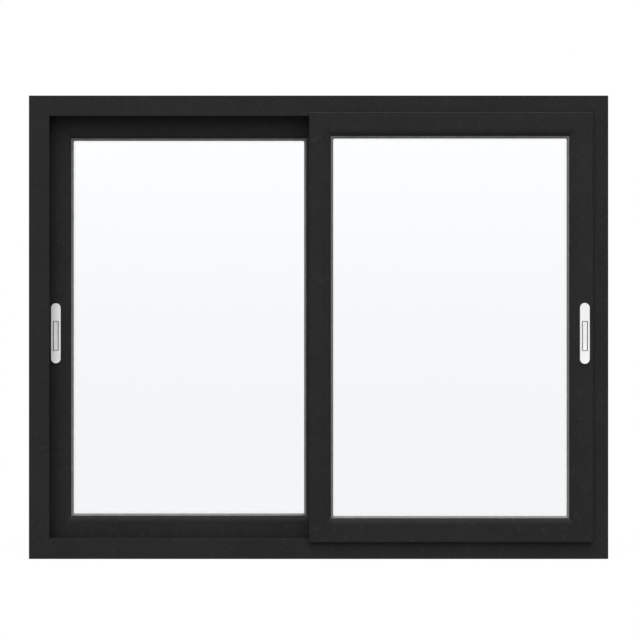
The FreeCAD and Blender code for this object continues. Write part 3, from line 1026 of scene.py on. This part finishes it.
def pile(name):
    """Grey-black pile whose fibres stand across the strip."""
    finish = material_finish(name)
    fibre = finish.noise(FIBRE_SIZE, 2.0, place=finish.stretched(1.0, 0.06, 1.0))
    tuft = finish.noise(TUFT_SIZE, 2.0)
    return finish.surface({
        "Base Color": finish.blend(fibre.between(0.35, 0.65), shade(20), shade(46)),
        "Roughness": tuft * 0.1 + 0.85,
        "Specular IOR Level": 0.1,
        "Sheen Weight": 0.3,
        "Normal": finish.bump(fibre, 0.3 * MM),
    })


PILE = pile("brush_pile")
print("pile with fibres of", FIBRE_SIZE / MM, "mm")

# %% [markdown]
# A brush is a flat foot with the pile rising from it, slightly narrower at the tip, so it is one
# section again. It runs along the outer groove of the sash, up or down the outer stile and along
# both rails, and is carried round as one strip: at each corner the end of one side is the start
# of the next, so that no cap is left inside it.

# %% The brush seals
# In millimetres.
BRUSH_INSET = 4.2
FOOT_WIDTH = 4.8
FOOT_HEIGHT = 0.8
PILE_WIDTH = 3.4
PILE_TIP = 2.6
PILE_HEIGHT = 4.6
# The walls of the groove: depth from the indoor face, and the way towards its middle.
GROOVE_WALLS = {"indoor": (6.5, 1), "outdoor": (20.5, -1)}
BRUSH_PATHS = {"left_sash": ("top", "left", "bottom"), "right_sash": ("bottom", "right", "top")}


def brush_section(wall, towards):
    """Foot and pile standing on a wall of the groove, towards its middle (1 is outdoors)."""
    half = [
        (FOOT_WIDTH, 0),
        (FOOT_WIDTH, FOOT_HEIGHT),
        (PILE_WIDTH, FOOT_HEIGHT),
        (PILE_TIP, PILE_HEIGHT),
    ]
    steps = [(-width / 2, rise) for width, rise in half]
    steps += [(width / 2, rise) for width, rise in reversed(half)]
    return outline([(BRUSH_INSET + across, wall + towards * rise, 0) for across, rise in steps])


for sash, path in BRUSH_PATHS.items():
    low, high = span(RINGS[sash])
    for where, (wall, towards) in GROOVE_WALLS.items():
        section = brush_section(wall, towards)
        sides = [mitred_points(low, high, side, section) for side in path]
        rows = np.concatenate([sides[0][:1]] + [side[1:] for side in sides])
        faces = grid_faces(len(rows), len(section)) + end_faces(len(rows), len(section))
        piece = solid(sash + "_brush_" + where, rows.reshape(-1, 3), faces)
        stands_for(piece, [], PILE)
print("brush seals:", len(BRUSH_PATHS) * len(GROOVE_WALLS))

# %% [markdown]
# A window like this is shown on pure white, so the background that the camera sees, directly or
# through the glass, is white. The light that falls on the window is a plain lower level, which
# keeps the film dark. What the glass mirrors is a third matter: a sky that is pale overhead and
# bluish grey low down, because a white one would wash the glass out. The kind of ray tells the
# three apart.

# %% The world
SKY_LEVEL = 0.36
MIRRORED_LOW = (0.54, 0.57, 0.62, 1)
MIRRORED_HIGH = (1.0, 1.0, 0.99, 1)
MIRRORED_RISE = 0.14
WHITE = (1, 1, 1, 1)


def seen_directly(finish):
    """1 for what the camera sees, also through glass."""
    camera_ray = finish.add("ShaderNodeLightPath", out="Is Camera Ray")
    through = finish.add("ShaderNodeLightPath", out="Is Transmission Ray")
    return camera_ray.most(through)


def mixed(finish, factor, first, second):
    """The first shader where a factor is 0 and the second where it is 1."""
    return finish.add("ShaderNodeMixShader", {}, {0: factor, 1: first, 2: second})


def sky():
    """White to the camera, a plain level of light, and for mirrors a sky that pales upwards.

    Its colour moves from low to high in proportion to the height z of the direction.
    """
    world = bpy.data.worlds.new("sky")
    bpy.context.scene.world = world
    finish = Finish(world, "Generated")
    height = (finish.part("Z") * (1 / MIRRORED_RISE)).most(0).least(1)
    tint = finish.blend(height, MIRRORED_LOW, MIRRORED_HIGH)
    soft = finish.add("ShaderNodeBackground", {}, {"Color": WHITE, "Strength": SKY_LEVEL})
    mirrored = finish.add("ShaderNodeBackground", {}, {"Color": tint})
    white = finish.add("ShaderNodeBackground", {}, {"Color": WHITE})
    glossy = finish.add("ShaderNodeLightPath", out="Is Glossy Ray")
    shader = mixed(finish, glossy, soft, mirrored)
    shader = mixed(finish, seen_directly(finish), shader, white)
    finish.add("ShaderNodeOutputWorld", {}, {"Surface": shader})


sky()
print("the sky lights the window at a level of", SKY_LEVEL)

# %% [markdown]
# The floor is as white as the sky, and yet the window stands on it and needs its faint shadow. So
# near the window a tenth of what the camera sees is a grey floor that takes light and shadow, and
# the rest glows white. The glow makes up for what the grey lacks of white, and so no edge shows
# where the grey fades out. In the glass the floor continues the low part of the mirrored sky.

# %% The floor
FLOOR_SIZE = 40.0
FLOOR_GREY = 0.32
FLOOR_WHITE = 0.90
FLOOR_LIT = 0.50
SHADOW_FADE = (0.8, 2.5)
MIRRORED_NEAR = (0.41, 0.45, 0.50, 1)
MIRRORED_FAR = (0.52, 0.55, 0.60, 1)
MIRRORED_FADE = (1.0, 16.0)


def pale_floor():
    """A large floor that is white to the camera but keeps the window's shadow.

    The share of glow rises from FLOOR_WHITE to 1 with the distance from the middle. Open floor
    in full light would give back FLOOR_LIT of white, so the strength of the glow is 1 plus
    (1 - share) (1 - FLOOR_LIT) / FLOOR_WHITE.
    """
    s = FLOOR_SIZE
    mesh = bpy.data.meshes.new("floor")
    mesh.from_pydata([(-s, -s, 0), (s, -s, 0), (s, s, 0), (-s, s, 0)], [], [(0, 1, 2, 3)])
    floor = into_scene("floor", mesh)
    finish = material_finish("floor")
    sockets = {0: finish.place}
    away = finish.add("ShaderNodeVectorMath", {"operation": "LENGTH"}, sockets, out="Value")
    share = away.between(*SHADOW_FADE) * (1 - FLOOR_WHITE) + FLOOR_WHITE
    glow = (1 - share) * ((1 - FLOOR_LIT) / FLOOR_WHITE) + 1
    tint = finish.blend(away.between(*MIRRORED_FADE), MIRRORED_NEAR, MIRRORED_FAR)
    grey = (FLOOR_GREY, FLOOR_GREY, FLOOR_GREY, 1)
    lit = finish.add("ShaderNodeBsdfDiffuse", {}, {"Color": grey})
    white = finish.add("ShaderNodeEmission", {}, {"Color": WHITE, "Strength": glow})
    mirrored = finish.add("ShaderNodeEmission", {}, {"Color": tint})
    glossy = finish.add("ShaderNodeLightPath", out="Is Glossy Ray")
    shader = mixed(finish, seen_directly(finish) * share, lit, white)
    shader = mixed(finish, glossy, shader, mirrored)
    finish.add("ShaderNodeOutputMaterial", {}, {"Surface": shader})
    dress(floor, finish.owner)


pale_floor()
print("a floor", 2 * FLOOR_SIZE, "m wide")

# %% [markdown]
# The light on the window is soft and comes from all over the upper front, as from a bank of large
# panels. A very wide sun gives such light evenly, and as light adds up, the strengths could be
# found from renders with one sun at a time. Those from above light the sill and the lower beads
# and leave the head of the recess dark, those from both sides shape the stiles, and the last one
# is for the outdoor face.

# %% The lamps
# The way towards each lamp, how many degrees wide it is, and its strength.
LAMPS = {
    "overhead": ((0, -0.17, 0.98), 40, 1.36),
    "high_front": ((0, -0.42, 0.91), 40, 1.70),
    "upper_left": ((-0.50, -0.60, 0.62), 50, 0.84),
    "upper_right": ((0.50, -0.60, 0.62), 50, 0.66),
    "outdoor_side": ((-0.35, 0.75, 0.55), 60, 0.90),
}


def soft_sun(name, towards, angle, strength):
    """Light that comes evenly from a round patch of sky in one direction, angle degrees wide."""
    light = bpy.data.lights.new(name, "SUN")
    light.angle = math.radians(angle)
    light.energy = strength
    lamp = into_scene(name, light)
    lamp.rotation_euler = Vector(towards).to_track_quat("Z", "Y").to_euler()


for name, settings in LAMPS.items():
    soft_sun(name, *settings)

# %% [markdown]
# The photograph looks straight at the window from the room, from a little over three metres, with
# the camera level with the middle of the window. The scale of the picture gives the lens.

# %% The camera
# The picture is 640 pixels wide, and all other sizes are in millimetres.
PICTURE = 640
MM_PER_PIXEL = 2.588
SENSOR = 36.0
DISTANCE = 3300.0
CAMERA_ACROSS = 3.7
CAMERA_HEIGHT = 618.8
FRAME_FRONT = -40.0

camera_data = bpy.data.cameras.new("camera")
camera_data.sensor_width = SENSOR
camera_data.lens = SENSOR * DISTANCE / (PICTURE * MM_PER_PIXEL)
camera = into_scene("camera", camera_data)
camera.location = (CAMERA_ACROSS * MM, (FRAME_FRONT - DISTANCE) * MM, CAMERA_HEIGHT * MM)
camera.rotation_euler = (math.pi / 2, 0, 0)
bpy.context.scene.camera = camera
bpy.context.scene.view_settings.view_transform = "Standard"
print("lens", round(camera_data.lens, 2), "mm")
